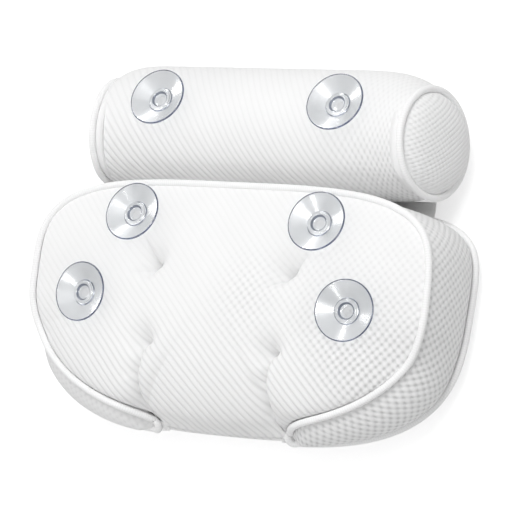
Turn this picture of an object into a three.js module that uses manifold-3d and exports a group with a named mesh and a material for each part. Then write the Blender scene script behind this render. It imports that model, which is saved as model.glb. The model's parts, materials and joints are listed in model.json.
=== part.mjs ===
// Bath pillow: a tufted back cushion, a neck roll on a fabric hinge and six suction cups.
// Millimetres. The pillow lies on its front with the cups up: +X is to the right as seen from
// the cup side, +Y points to the neck roll and +Z out of the back panel.
// Until the last lines, y is measured from the cushion's widest line.

import * as THREE from 'three';
import { mergeVertices } from 'three/addons/utils/BufferGeometryUtils.js';
import Module from 'manifold-3d';

const wasm = await Module();
wasm.setup();

const { degToRad, lerp, smoothstep, clamp } = THREE.MathUtils;

// Cloth and seams
const fabricThickness = 4;
const seamGap = 0.3;
const seamAllowance = 0.6;
const fillGap = 0.5;
const fillSeamInset = 2.4;
const fillBandInset = 2;
const fillBottomSpread = 0.2;
const pipingRadius = 3.2;

// Cushion outline along its back seam and its front seam
const backHalfWidth = 204;
const backTopReach = 99;
const backBottomReach = 118.2;
const backTopSquareness = 3.8;
const backBottomSquareness = 2.19;
const frontHalfWidth = 207;
const frontTopReach = 104;
const frontBottomReach = 121.5;
const frontTopSquareness = 5;
const frontBottomSquareness = 3;

// Heights above the surface that the pillow lies on
const frontSeamHeight = 18;
const backSeamHeight = 107;
const backSeamBend = 51;
const backSeamSlope = 0.12;
const backSeamLowerBend = -18;
const backSeamLowerSlope = 0.24;
const backSeamFall = 18.3;
const crownRise = 7.5;
const restDepth = 0.5;

// The gusset narrows to a tip at each side of the bottom, where its piping turns back
const tipAngle = degToRad(70);
const tipHeight = 53.3;
const hairpinEye = 1.55;
const gussetBulge = 5;
const gussetLowerBulge = 9;
const gussetLowerStart = 0.15;
const gussetLowerEnd = 0.5;
const gussetLowerWidth = 0.15;
const gussetTopTightness = 4;
const seamDropStart = 0.8;
const seamDropPower = 3.5;
const frontRisePower = 1.5;

// Curvature of the panels between their middle and their seams
const crownPower = 2.6;
const sideRoundness = 1.15;
const bottomRoundness = 2;
const bottomRoundStart = 0.2;
const frontPower = 8;
const frontRoundness = 1.6;

// Tufts, and the creases that they draw in the back panel
const upperTuft = new THREE.Vector2(69.5, 18.6);
const lowerTuft = new THREE.Vector2(66.3, -52.4);
const foldEnd = new THREE.Vector2(84, 43);
const tuftDepth = 16;
const tuftSpread = 17;
const creaseDepth = 5;
const creaseFootDepth = 3;
const creaseSpread = 9;
const foldDepth = 4;
const threadRadius = 0.8;
const knotRadius = 2.2;
const knotHeight = 1.6;

// Neck roll, oval in section. Its ends are drawn in most on the far and front sides, and lean back.
const rollGap = 1.5;
const rollHalfReach = 59.5;
const rollHalfHeight = 56.5;
const rollRestDepth = 1;
const rollHalfLength = 167.5;
const rollDrawIn = 90;
const rollDrawPower = 3.5;
const rollEndRadius = 48.5;
const rollEndOffsetY = -8;
const rollEndOffsetZ = 10.5;
const rollEndLean = degToRad(5.5);
const rollEndBulge = 12.5;
const rollEndPower = 2.4;
const rollEndRoundness = 1.4;

// Hinge web between the cushion's front seam and the roll
const webThickness = 2.4;
const webRise = 1.6;
const webEndAngle = degToRad(51);

// Suction cups
const cupRimRadius = 27.5;
const cupHeight = 11.5;
const cupLipWidth = 1.6;
const cupLipThickness = 1.2;
const cupHubRadius = 10;
const cupHubFlare = 2;
const cupHubHeight = 2.4;
const cupWall = 1.9;
const cupRingRadius = 10.2;
const cupRingRise = 1.1;
const cupRingSlope = 1.55;
const cupDimpleRadius = 6.75;
const cupDimpleSlope = 0.8;
const cupDishShare = 0.5;
const cupDishRise = 0.3;
const cupNeckRadius = 4.5;
const cupHeadOverhang = 3;
const cupHeadHeight = 3;
const topCupX = 95.6;
const topCupInset = 33.9;
const lowCupInset = 68.1;
const lowCupY = -10.2;
const rollCupX = 92.7;
const rollCupTilt = degToRad(8.5);

// Retaining washer behind each cup, pressed a little into the cloth
const washerOverhang = 3;
const washerThickness = 1.2;
const washerRecess = 0.6;

// Sizes that follow from the ones above
const crownHeight = backSeamHeight + crownRise;
const hairpinRadius = pipingRadius + hairpinEye;
const tipWidth = (2 * hairpinRadius) / (backSeamHeight - frontSeamHeight);
const topCup = new THREE.Vector2(topCupX, backTopReach - topCupInset);
const lowCup = new THREE.Vector2(backHalfWidth - lowCupInset, lowCupY);
const rollAxisY = Math.max(backTopReach, frontTopReach) + rollGap + rollHalfReach;
const rollAxisZ = rollHalfHeight - rollRestDepth;
const webHeight = frontSeamHeight + pipingRadius + webRise + webThickness / 2;
const cupWebHeight = cupHubHeight + cupWall;
const cupHeadRadius = cupNeckRadius + cupHeadOverhang;
const washerRadius = cupHeadRadius + washerOverhang;

// Facets
const topSectors = 16;
const sideSectors = 10;
const tipCrowding = 1.4;
const bottomSectors = 6;
const backShares = [0.18, 0.34, 0.45, 0.56, 0.67, 0.78, 0.87, 0.95];
const frontShares = [0.4, 0.62, 0.8, 0.92];
const gussetShares = [0, 0.25, 0.5, 0.75, 1];
const drawInShares = [0.4, 0.75, 1];
const endShares = [0.35, 0.75, 1];
const fillEndShares = [0.86, 0.4];
const hairpinTurns = [45, 90, 135].map(degToRad);
const webEdgeTurns = [90, 45, 0, -45, -90].map(degToRad);
const rollSegments = 24;
const cupSegments = 18;
const holeSegments = 10;
const cordSides = 6;
const threadSides = 6;

// Steps for measuring along the cushion surface
const angleStep = 0.01;
const surfaceStep = 0.01;
const searchStep = 0.0005;

// Colours of the photographed materials
const meshCloth = { color: 0xf4f4f3, roughness: 0.85, metalness: 0 };
const pipingCloth = { color: 0xf7f7f6, roughness: 0.7, metalness: 0 };
const webCloth = { color: 0xd9d8d7, roughness: 0.9, metalness: 0 };
const fibreFill = { color: 0xefeee9, roughness: 1, metalness: 0 };
const polyesterThread = { color: 0xf2f2f0, roughness: 0.6, metalness: 0 };
const clearVinyl = { color: 0xdfe4ea, roughness: 0.06, metalness: 0, transparent: true, opacity: 0.35 };
const washerPlastic = { color: 0xe9e9e6, roughness: 0.4, metalness: 0 };

// Mesh helpers

function closedGeometry(points, triangles) {
  const geometry = new THREE.BufferGeometry();
  geometry.setAttribute('position', new THREE.Float32BufferAttribute(points.flatMap((p) => p.toArray()), 3));
  geometry.setIndex(triangles);
  if (signedVolume(points, triangles) < 0) {
    geometry.index.array.reverse();
  }
  geometry.computeVertexNormals();
  return geometry;
}

function signedVolume(points, triangles) {
  let volume = 0;
  const normal = new THREE.Vector3();
  for (let i = 0; i < triangles.length; i += 3) {
    normal.crossVectors(points[triangles[i + 1]], points[triangles[i + 2]]);
    volume += points[triangles[i]].dot(normal) / 6;
  }
  return volume;
}

// Skin over a row of closed loops. A ring of loops joins its last loop to its first, and an open row
// is capped by a fan at each end. Rows from the fold on run back under the first ones, and their facets
// are split the other way, so that the two layers stay parallel.
function loft(loops, { ring = false, fold = loops.length } = {}) {
  const count = loops[0].length;
  const points = loops.flat();
  const triangles = [];
  const rows = ring ? loops.length : loops.length - 1;
  for (let row = 0; row < rows; row++) {
    const here = row * count;
    const next = ((row + 1) % loops.length) * count;
    for (let i = 0; i < count; i++) {
      const j = (i + 1) % count;
      if (row < fold) {
        triangles.push(here + i, here + j, next + j, here + i, next + j, next + i);
      } else {
        triangles.push(here + i, here + j, next + i, here + j, next + j, next + i);
      }
    }
  }
  if (!ring) {
    const last = (loops.length - 1) * count;
    const startPole = points.push(middle(loops[0])) - 1;
    const endPole = points.push(middle(loops.at(-1))) - 1;
    for (let i = 0; i < count; i++) {
      const j = (i + 1) % count;
      triangles.push(startPole, j, i, endPole, last + i, last + j);
    }
  }
  return closedGeometry(points, triangles);
}

function middle(loop) {
  const sum = loop.reduce((total, point) => total.add(point), new THREE.Vector3());
  return sum.divideScalar(loop.length);
}

// Closed cord through a ring of places, each with its centre and the way that is outward there
function cordRing(places) {
  const loops = places.map(({ centre, outward }, i) => {
    const before = places.at(i - 1).centre;
    const after = places[(i + 1) % places.length].centre;
    const along = after.clone().sub(before).normalize();
    const side = new THREE.Vector3().crossVectors(along, outward).normalize();
    const out = new THREE.Vector3().crossVectors(side, along);
    return Array.from({ length: cordSides }, (_, k) => {
      const turn = (k * 2 * Math.PI) / cordSides;
      const point = centre.clone().addScaledVector(out, pipingRadius * Math.cos(turn));
      return point.addScaledVector(side, pipingRadius * Math.sin(turn));
    });
  });
  return loft(loops, { ring: true });
}

function toSolid(geometry) {
  const bare = geometry.clone();
  bare.deleteAttribute('normal');
  bare.deleteAttribute('uv');
  const merged = mergeVertices(bare);
  const vertProperties = new Float32Array(merged.attributes.position.array);
  const triVerts = new Uint32Array(merged.index.array);
  return new wasm.Manifold(new wasm.Mesh({ numProp: 3, vertProperties, triVerts }));
}

function cut(geometry, tools) {
  let solid = toSolid(geometry);
  for (const tool of tools) {
    solid = solid.subtract(toSolid(tool));
  }
  const mesh = solid.getMesh();
  const result = new THREE.BufferGeometry();
  result.setAttribute('position', new THREE.BufferAttribute(new Float32Array(mesh.vertProperties), 3));
  result.setIndex(new THREE.BufferAttribute(new Uint32Array(mesh.triVerts), 1));
  result.computeVertexNormals();
  return result;
}

// Turned body from a profile of [radius, height] pairs
function turned(profile, segments) {
  const points = profile.map(([radius, height]) => new THREE.Vector2(radius, height));
  return new THREE.LatheGeometry(points, segments);
}

// Cushion surface. An angle goes round the outline from the right-hand widest point, and v goes from
// the middle of the back (0) over the back seam (1) and the front seam (2) to the middle of the front (3).

function outline(angle, halfWidth, upper, lower) {
  const across = Math.cos(angle);
  const along = Math.sin(angle);
  const { reach, squareness } = along > 0 ? upper : lower;
  const size = (Math.abs(across) ** squareness + Math.abs(along) ** squareness) ** (-1 / squareness);
  return new THREE.Vector2(halfWidth * across, reach * along).multiplyScalar(size);
}

// Zero above the widest line, growing to one at the gusset's tip and staying there along the bottom
function tipProgress(angle) {
  const fromWidest = Math.atan2(-Math.sin(angle), Math.abs(Math.cos(angle)));
  return clamp(fromWidest / tipAngle, 0, 1);
}

function backSeam(angle) {
  const upper = { reach: backTopReach, squareness: backTopSquareness };
  const lower = { reach: backBottomReach, squareness: backBottomSquareness };
  const plan = outline(angle, backHalfWidth, upper, lower);
  const progress = tipProgress(angle);
  const drop = clamp((progress - seamDropStart) / (1 - seamDropStart), 0, 1) ** seamDropPower;
  const upperFall = backSeamSlope * Math.max(0, backSeamBend - plan.y);
  const lowerFall = backSeamLowerSlope * Math.max(0, backSeamLowerBend - plan.y);
  const fall = Math.min(backSeamFall, upperFall + lowerFall);
  return new THREE.Vector3(plan.x, plan.y, lerp(backSeamHeight - fall, tipHeight + hairpinRadius, drop));
}

function frontSeam(angle) {
  const upper = { reach: frontTopReach, squareness: frontTopSquareness };
  const lower = { reach: frontBottomReach, squareness: frontBottomSquareness };
  const plan = outline(angle, frontHalfWidth, upper, lower);
  const rise = tipProgress(angle) ** frontRisePower;
  return new THREE.Vector3(plan.x, plan.y, lerp(frontSeamHeight, tipHeight - hairpinRadius, rise));
}

function smoothPoint(angle, v) {
  const back = backSeam(angle);
  const front = frontSeam(angle);
  if (v <= 1) {
    const towardsTip = smoothstep(tipProgress(angle), bottomRoundStart, 1);
    const roundness = lerp(sideRoundness, bottomRoundness, towardsTip);
    const rise = (1 - v ** crownPower) ** (1 / roundness);
    return new THREE.Vector3(back.x * v, back.y * v, lerp(back.z, crownHeight, rise));
  }
  if (v < 2) {
    const share = v - 1;
    const width = (back.z - front.z) / (backSeamHeight - frontSeamHeight);
    const freedom = 1 - Math.max(0, Math.sin(angle)) ** gussetTopTightness;
    const lower = smoothstep(tipProgress(angle), gussetLowerStart, gussetLowerEnd);
    const lowerBulge = gussetLowerBulge * lower * clamp((width - tipWidth) / gussetLowerWidth, 0, 1);
    const bulge = (gussetBulge * width * freedom + lowerBulge) * 4 * share * (1 - share);
    const outward = new THREE.Vector3(front.x, front.y, 0).normalize();
    return back.lerp(front, share).addScaledVector(outward, bulge);
  }
  const share = 3 - v;
  const fall = (1 - share ** frontPower) ** (1 / frontRoundness);
  const height = Math.max(0, front.z * (1 - fall) - restDepth);
  return new THREE.Vector3(front.x * share, front.y * share, height);
}

function smoothNormal(angle, v) {
  const around = smoothPoint(angle + angleStep, v).sub(smoothPoint(angle - angleStep, v));
  const before = smoothPoint(angle, Math.max(v - surfaceStep, 0));
  const after = smoothPoint(angle, Math.min(v + surfaceStep, 3));
  return after.sub(before).cross(around).normalize();
}

// The creases below the lower tufts run to the gusset's tips
const tip = backSeam(-tipAngle);
const creaseFoot = new THREE.Vector2(tip.x, tip.y);

// Depth of a groove that runs from one place to another and fades across its spread
function groove(place, from, to, fromDepth, toDepth) {
  const run = to.clone().sub(from);
  const share = clamp(place.clone().sub(from).dot(run) / run.lengthSq(), 0, 1);
  const distance = place.distanceTo(from.clone().addScaledVector(run, share));
  return lerp(fromDepth, toDepth, share) * Math.exp(-((distance / creaseSpread) ** 2));
}

function dent(point, v) {
  const place = new THREE.Vector2(Math.abs(point.x), point.y);
  let depth = 0;
  for (const tuft of [upperTuft, lowerTuft]) {
    depth += tuftDepth * Math.exp(-((place.distanceTo(tuft) / tuftSpread) ** 2));
  }
  depth += groove(place, lowerTuft, creaseFoot, creaseDepth, creaseFootDepth);
  depth += groove(place, upperTuft, foldEnd, foldDepth, 0);
  return depth * clamp(2 - v, 0, 1);
}

// Point of the tufted surface, moved in from the outside by the inset
function skin(angle, v, inset = 0) {
  const point = smoothPoint(angle, v);
  const depth = dent(point, v) + inset;
  return point.addScaledVector(smoothNormal(angle, v), -depth);
}

function gridAngles() {
  const angles = [];
  const addSectors = (from, to, count, crowd = (share) => share) => {
    for (let i = 0; i < count; i++) {
      angles.push(lerp(from, to, crowd(i / count)));
    }
  };
  addSectors(-tipAngle, 0, sideSectors, (share) => share ** tipCrowding);
  addSectors(0, Math.PI, topSectors);
  addSectors(Math.PI, Math.PI + tipAngle, sideSectors, (share) => 1 - (1 - share) ** tipCrowding);
  addSectors(Math.PI + tipAngle, 2 * Math.PI - tipAngle, bottomSectors);
  return angles;
}

const angles = gridAngles();
const gussetAngles = angles.slice(0, 2 * sideSectors + topSectors + 1);
const isGusset = (angle) => tipProgress(angle) < 1 || gussetAngles.includes(angle);

// Where v has moved from a seam until the surface is clear of the piping there
function standOff(angle, seam, direction) {
  const start = smoothPoint(angle, seam);
  const along = smoothPoint(angle + angleStep, seam).sub(smoothPoint(angle - angleStep, seam)).normalize();
  const away = (v) => smoothPoint(angle, v).sub(start).cross(along).length();
  let v = seam;
  while (away(v) < pipingRadius + seamAllowance) {
    v += direction * searchStep;
  }
  return v;
}

// Share of the narrow bottom band that keeps the two panels a seam gap apart
const halfBottomGap = seamGap / (4 * hairpinRadius);
const backEdge = new Map(angles.map((a) => [a, isGusset(a) ? standOff(a, 1, -1) : 1.5 - halfBottomGap]));
const frontEdge = new Map(angles.map((a) => [a, isGusset(a) ? standOff(a, 2, 1) : 1.5 + halfBottomGap]));

// Rows of v from a panel's middle to its edge, for one angle
function backRow(angle) {
  const edge = backEdge.get(angle);
  const reach = Math.min(1, edge);
  const lastButOne = edge > 1 ? 1 : lerp(backShares.at(-1), 1, 0.5) * reach;
  return [...backShares.map((share) => share * reach), lastButOne, edge];
}

function frontRow(angle) {
  const edge = frontEdge.get(angle);
  const reach = Math.min(1, 3 - edge);
  const lastButOne = edge < 2 ? 1 : lerp(frontShares.at(-1), 1, 0.5) * reach;
  return [...frontShares.map((share) => 3 - share * reach), 3 - lastButOne, edge];
}

function panelShell(rowOf) {
  const rows = angles.map(rowOf);
  const steps = rows[0].map((_, k) => k);
  const loopAt = (k, inset) => angles.map((angle, i) => skin(angle, rows[i][k], inset));
  const outer = steps.map((k) => loopAt(k, 0));
  const inner = steps.map((k) => loopAt(k, fabricThickness)).reverse();
  return loft([...outer, ...inner], { fold: outer.length });
}

function gussetShell() {
  const sections = gussetAngles.slice(1, -1).map((angle) => {
    const from = standOff(angle, 1, 1);
    const to = standOff(angle, 2, -1);
    const outer = gussetShares.map((share) => skin(angle, lerp(from, to, share)));
    const inner = gussetShares.map((share) => skin(angle, lerp(from, to, share), fabricThickness));
    return [...outer, ...inner.reverse()];
  });
  return loft(sections);
}

// The filling follows the inside of the panels, and is held back further where the seams turn inward
function cushionFillBody() {
  const inset = fabricThickness + fillGap;
  const seamInset = inset + fillSeamInset;
  const bandInset = inset + fillBandInset;
  const onBand = (angle, share) => {
    return skin(angle, isGusset(angle) ? 1 + share : lerp(1.5, 1 + share, fillBottomSpread), bandInset);
  };
  const underSeam = (angle, seam, share) => {
    return isGusset(angle) ? skin(angle, seam, seamInset) : onBand(angle, share);
  };
  const halfShare = gussetShares[1] / 2;
  const backRows = angles.map(backRow);
  const frontRows = angles.map(frontRow);
  const panelLoop = (rows, k, depth = inset) => angles.map((angle, i) => skin(angle, rows[i][k], depth));
  const loops = [];
  for (let k = 0; k <= backShares.length; k++) {
    loops.push(panelLoop(backRows, k));
  }
  loops.push(angles.map((angle) => underSeam(angle, 1, halfShare)));
  for (const share of gussetShares.slice(1, -1)) {
    loops.push(angles.map((angle) => onBand(angle, share)));
  }
  loops.push(angles.map((angle) => underSeam(angle, 2, 1 - halfShare)));
  const fold = loops.length;
  for (let k = frontShares.length; k >= 0; k--) {
    loops.push(panelLoop(frontRows, k, k < frontShares.length - 1 ? inset : seamInset));
  }
  return loft(loops, { fold });
}

function outwardAt(angle) {
  const seam = frontSeam(angle);
  return new THREE.Vector3(seam.x, seam.y, 0).normalize();
}

// Half turn of the piping round a gusset tip, from one seam to the other
function hairpin(angle, fromHeight) {
  const ends = [backSeam(angle), frontSeam(angle)];
  const centre = ends[0].clone().lerp(ends[1], 0.5);
  const outward = outwardAt(angle);
  const inward = new THREE.Vector3(-Math.sign(centre.x), 0, 0);
  const along = inward.addScaledVector(outward, -inward.dot(outward)).normalize();
  const across = ends[0].clone().sub(centre).multiplyScalar(fromHeight);
  return hairpinTurns.map((turn) => {
    const place = centre.clone().addScaledVector(along, hairpinRadius * Math.sin(turn));
    place.addScaledVector(across, Math.cos(turn));
    return { centre: place, outward };
  });
}

function cushionPipingPlaces() {
  const seamPlaces = (seam) => {
    return gussetAngles.map((angle) => ({ centre: seam(angle), outward: outwardAt(angle) }));
  };
  const [rightTip, leftTip] = [gussetAngles[0], gussetAngles.at(-1)];
  const back = seamPlaces(backSeam);
  const front = seamPlaces(frontSeam).reverse();
  return [...back, ...hairpin(leftTip, 1), ...front, ...hairpin(rightTip, -1)];
}

// Clear space round the piping at the two tips, which the panels are cut back from
function tipClearances() {
  return [gussetAngles[0], gussetAngles.at(-1)].map((angle) => {
    const ends = [backSeam(angle), frontSeam(angle)];
    const centre = ends[0].clone().lerp(ends[1], 0.5);
    const depth = 2 * (pipingRadius + seamGap) + Math.abs(ends[0].y - ends[1].y);
    const block = new THREE.CylinderGeometry(1, 1, depth, holeSegments);
    const size = hairpinRadius + pipingRadius + seamGap + Math.abs(ends[0].x - ends[1].x) / 2;
    block.scale(size, 1, size);
    block.translate(centre.x, centre.y, centre.z);
    return block;
  });
}

// Neck roll

// Section of the roll at a place along it: its centre, its half sizes and how far it leans
function rollSection(x) {
  const drawn = clamp((Math.abs(x) - (rollHalfLength - rollDrawIn)) / rollDrawIn, 0, 1) ** rollDrawPower;
  return {
    y: rollAxisY + rollEndOffsetY * drawn,
    z: rollAxisZ + rollEndOffsetZ * drawn,
    halfReach: lerp(rollHalfReach, rollEndRadius, drawn),
    halfHeight: lerp(rollHalfHeight, rollEndRadius, drawn),
    lean: Math.sign(x) * Math.tan(rollEndLean) * drawn,
  };
}

// Ring of points round a section, flat where the roll rests
function ovalRing(x, { y, z, halfReach, halfHeight, lean }, inset, floor) {
  return Array.from({ length: rollSegments }, (_, k) => {
    const turn = ((k + 0.5) * 2 * Math.PI) / rollSegments;
    const height = Math.max(floor, z - (halfHeight - inset) * Math.cos(turn));
    return new THREE.Vector3(x - lean * (height - z), y + (halfReach - inset) * Math.sin(turn), height);
  });
}

const rollRing = (x, inset) => ovalRing(x, rollSection(x), inset, inset);

// Ring of the end panel, which bulges out from the piping
const rollEnds = new Map([-1, 1].map((side) => [side, rollSection(side * rollHalfLength)]));

function endRing(side, radius, inset) {
  const bulge = rollEndBulge * (1 - (radius / rollEndRadius) ** rollEndPower) ** (1 / rollEndRoundness);
  const round = { ...rollEnds.get(side), halfReach: radius, halfHeight: radius };
  return ovalRing(side * (rollHalfLength + bulge - inset), round, 0, inset);
}

const rollEdge = rollHalfLength - pipingRadius - seamGap;

function rollStations() {
  const straight = rollHalfLength - rollDrawIn;
  const half = [0, straight, ...drawInShares.map((share) => lerp(straight, rollEdge, share))];
  return [...half.slice(1).reverse().map((x) => -x), ...half];
}

function rollCoverShell() {
  const stations = rollStations();
  const outer = stations.map((x) => rollRing(x, 0));
  const inner = stations.map((x) => rollRing(x, fabricThickness)).reverse();
  return loft([...outer, ...inner], { ring: true, fold: outer.length });
}

function rollEndShell(side) {
  const edge = rollEndRadius - pipingRadius - seamAllowance;
  const radii = endShares.map((share) => share * edge);
  const outer = radii.map((radius) => endRing(side, radius, 0));
  const inner = radii.map((radius) => endRing(side, radius, fabricThickness)).reverse();
  return loft([...outer, ...inner], { fold: outer.length });
}

function rollFillBody() {
  const inset = fabricThickness + fillGap;
  const stations = rollStations();
  const body = stations.slice(1, -1).map((x) => rollRing(x, inset));
  const [leftEnd, rightEnd] = [stations[0], stations.at(-1)].map((x) => rollRing(x, inset + pipingRadius));
  const edge = rollEndRadius - pipingRadius - inset;
  const dome = fillEndShares.map((share) => share * edge);
  const right = dome.map((radius) => endRing(1, radius, inset));
  const left = dome.map((radius) => endRing(-1, radius, inset)).reverse();
  return loft([...left, leftEnd, ...body, rightEnd, ...right]);
}

function rollPipingPlaces(side) {
  const end = rollEnds.get(side);
  const axis = new THREE.Vector3(side * rollHalfLength, end.y, end.z);
  return ovalRing(axis.x, end, 0, 0).map((centre) => {
    return { centre, outward: centre.clone().sub(axis).normalize() };
  });
}

// Hinge web. Its edge at the roll is round about the line that the roll folds on.

// Point of the roll's middle section whose normal leans from straight up, towards the far side
function rollPlace(lean) {
  const reach = rollHalfReach ** 2 * Math.sin(lean);
  const height = rollHalfHeight ** 2 * Math.cos(lean);
  const size = Math.hypot(rollHalfReach * Math.sin(lean), rollHalfHeight * Math.cos(lean));
  return new THREE.Vector3(0, rollAxisY + reach / size, rollAxisZ + height / size);
}

const webLevel = (webHeight - rollAxisZ) / rollHalfHeight;
const webLean = Math.atan2(-rollHalfHeight * Math.sqrt(1 - webLevel ** 2), rollHalfReach * webLevel);
const webNormal = new THREE.Vector3(0, Math.sin(webLean), Math.cos(webLean));
const hinge = rollPlace(webLean).addScaledVector(webNormal, seamGap + webThickness / 2);

function hingeWebBody() {
  const heightShare = (backSeamHeight - hinge.z) / (backSeamHeight - frontSeamHeight);
  const between = angles.filter((angle) => angle > webEndAngle && angle < Math.PI - webEndAngle);
  const stations = [webEndAngle, ...between, Math.PI - webEndAngle];
  const sections = stations.map((angle) => {
    const foot = skin(angle, 1 + heightShare);
    const half = webThickness / 2;
    const sewn = [-half, half].map((rise) => {
      return new THREE.Vector3(foot.x, foot.y + 2 * seamGap, hinge.z + rise);
    });
    const round = webEdgeTurns.map((turn) => {
      return new THREE.Vector3(foot.x, hinge.y + half * Math.cos(turn), hinge.z + half * Math.sin(turn));
    });
    return [...sewn, ...round];
  });
  return loft(sections);
}

// Suction cups and their washers, turned about a seat's normal with height zero on the cloth

const washerTop = -(fabricThickness - washerRecess + seamGap);
const headTop = washerTop - washerThickness - seamGap;
const headBottom = headTop - cupHeadHeight;

function suctionCupBody() {
  const ringFoot = cupRingRadius + cupRingSlope;
  const profile = [
    [0, headBottom],
    [cupHeadRadius, headBottom],
    [cupHeadRadius, headTop],
    [cupNeckRadius, headTop],
    [cupNeckRadius, seamGap],
    [cupHubRadius, seamGap],
    [cupHubRadius + cupHubFlare, cupHubHeight],
    [lerp(cupHubRadius, cupRimRadius, cupDishShare), lerp(cupHubHeight, cupHeight, cupDishRise)],
    [cupRimRadius, cupHeight - cupLipThickness],
    [cupRimRadius, cupHeight],
    [cupRimRadius - cupLipWidth, cupHeight],
    [lerp(ringFoot, cupRimRadius, cupDishShare), lerp(cupWebHeight, cupHeight, cupDishRise)],
    [ringFoot, cupWebHeight],
    [cupRingRadius, cupWebHeight + cupRingRise],
    [cupDimpleRadius + cupDimpleSlope, cupWebHeight + cupRingRise],
    [cupDimpleRadius, cupWebHeight],
    [0, cupWebHeight],
  ];
  return turned(profile, cupSegments);
}

function washerBody() {
  const bore = cupNeckRadius + seamGap;
  const bottom = washerTop - washerThickness;
  const profile = [
    [bore, bottom],
    [washerRadius, bottom],
    [washerRadius, washerTop],
    [bore, washerTop],
    [bore, bottom],
  ];
  return turned(profile, holeSegments);
}

// Space that a cup's neck, washer and head need in the cloth and the filling
function cupClearance() {
  const pocket = washerRadius + seamGap;
  const bore = cupNeckRadius + seamGap;
  const profile = [
    [0, headBottom - seamGap],
    [pocket, headBottom - seamGap],
    [pocket, washerTop + seamGap],
    [bore, washerTop + seamGap],
    [bore, fabricThickness],
    [0, fabricThickness],
  ];
  return turned(profile, holeSegments);
}

// Frame whose Y axis is the seat's normal
function seatFrame(point, normal) {
  const turn = new THREE.Quaternion().setFromUnitVectors(new THREE.Vector3(0, 1, 0), normal);
  return new THREE.Matrix4().compose(point, turn, new THREE.Vector3(1, 1, 1));
}

function backPlace(x, y) {
  const angle = Math.atan2(y / (y > 0 ? backTopReach : backBottomReach), x / backHalfWidth);
  const seam = backSeam(angle);
  return skin(angle, Math.hypot(x, y) / Math.hypot(seam.x, seam.y));
}

function cushionSeat(x, y) {
  const spread = cupNeckRadius;
  const across = backPlace(x + spread, y).sub(backPlace(x - spread, y));
  const along = backPlace(x, y + spread).sub(backPlace(x, y - spread));
  return seatFrame(backPlace(x, y), across.cross(along).normalize());
}

function rollSeat(x) {
  const normal = new THREE.Vector3(0, Math.sin(rollCupTilt), Math.cos(rollCupTilt));
  return seatFrame(rollPlace(rollCupTilt).setX(x), normal);
}

const sides = [['left', -1], ['right', 1]];
const cushionSeats = new Map();
const rollSeats = new Map();
for (const [name, side] of sides) {
  cushionSeats.set(`top_${name}`, cushionSeat(side * topCup.x, topCup.y));
  cushionSeats.set(`low_${name}`, cushionSeat(side * lowCup.x, lowCup.y));
  rollSeats.set(`roll_${name}`, rollSeat(side * rollCupX));
}

const clearancesOf = (seats) => [...seats.values()].map((seat) => cupClearance().applyMatrix4(seat));

// Tuft threads, each with a knot under the back panel and one over the front panel

function tuftThreadProfile(tuft, allowance) {
  const top = backPlace(tuft.x, tuft.y).z - fabricThickness - seamGap + allowance;
  const bottom = fabricThickness + seamGap - allowance;
  const knot = knotRadius + allowance;
  const shank = threadRadius + allowance;
  return [
    [0, bottom],
    [knot, bottom],
    [knot, bottom + knotHeight + 2 * allowance],
    [shank, bottom + knotHeight + 2 * allowance],
    [shank, top - knotHeight - 2 * allowance],
    [knot, top - knotHeight - 2 * allowance],
    [knot, top],
    [0, top],
  ];
}

function tuftThreadBody(tuft, side, allowance) {
  const body = turned(tuftThreadProfile(tuft, allowance), threadSides);
  body.rotateX(Math.PI / 2);
  return body.translate(side * tuft.x, tuft.y, 0);
}

const tufts = [];
for (const [name, side] of sides) {
  tufts.push([`upper_${name}`, upperTuft, side], [`lower_${name}`, lowerTuft, side]);
}

// Assembly

function addMesh(parent, name, geometry, look) {
  const mesh = new THREE.Mesh(geometry, new THREE.MeshStandardMaterial(look));
  mesh.name = name;
  parent.add(mesh);
  return mesh;
}

function addCups(parent, seats) {
  for (const [name, seat] of seats) {
    const cup = addMesh(parent, `suction_cup_${name}`, suctionCupBody(), clearVinyl);
    const washer = addMesh(parent, `cup_washer_${name}`, washerBody(), washerPlastic);
    for (const mesh of [cup, washer]) {
      seat.decompose(mesh.position, mesh.quaternion, mesh.scale);
    }
  }
}

const cushion = new THREE.Group();
const cushionClearances = clearancesOf(cushionSeats);
const threadBores = tufts.map(([, tuft, side]) => tuftThreadBody(tuft, side, seamGap));
const backPanel = cut(panelShell(backRow), [...cushionClearances, ...tipClearances()]);
addMesh(cushion, 'cushion_back_panel', backPanel, meshCloth);
addMesh(cushion, 'cushion_front_panel', cut(panelShell(frontRow), tipClearances()), meshCloth);
addMesh(cushion, 'cushion_gusset', gussetShell(), meshCloth);
addMesh(cushion, 'cushion_piping', cordRing(cushionPipingPlaces()), pipingCloth);
addMesh(cushion, 'cushion_fill', cut(cushionFillBody(), [...cushionClearances, ...threadBores]), fibreFill);
for (const [name, tuft, side] of tufts) {
  addMesh(cushion, `tuft_thread_${name}`, tuftThreadBody(tuft, side, 0), polyesterThread);
}
addMesh(cushion, 'hinge_web', hingeWebBody(), webCloth);
addCups(cushion, cushionSeats);

const roll = new THREE.Group();
const rollClearances = clearancesOf(rollSeats);
addMesh(roll, 'roll_cover', cut(rollCoverShell(), rollClearances), meshCloth);
addMesh(roll, 'roll_fill', cut(rollFillBody(), rollClearances), fibreFill);
for (const [name, side] of sides) {
  addMesh(roll, `roll_end_${name}`, rollEndShell(side), meshCloth);
  addMesh(roll, `roll_piping_${name}`, cordRing(rollPipingPlaces(side)), pipingCloth);
}
addCups(roll, rollSeats);

// The origin is under the middle of the whole pillow
const pillow = new THREE.Group();
pillow.add(cushion, roll);
const extent = new THREE.Box3().setFromObject(pillow, true);
pillow.position.y = -(extent.min.y + extent.max.y) / 2;

export default pillow;
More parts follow.
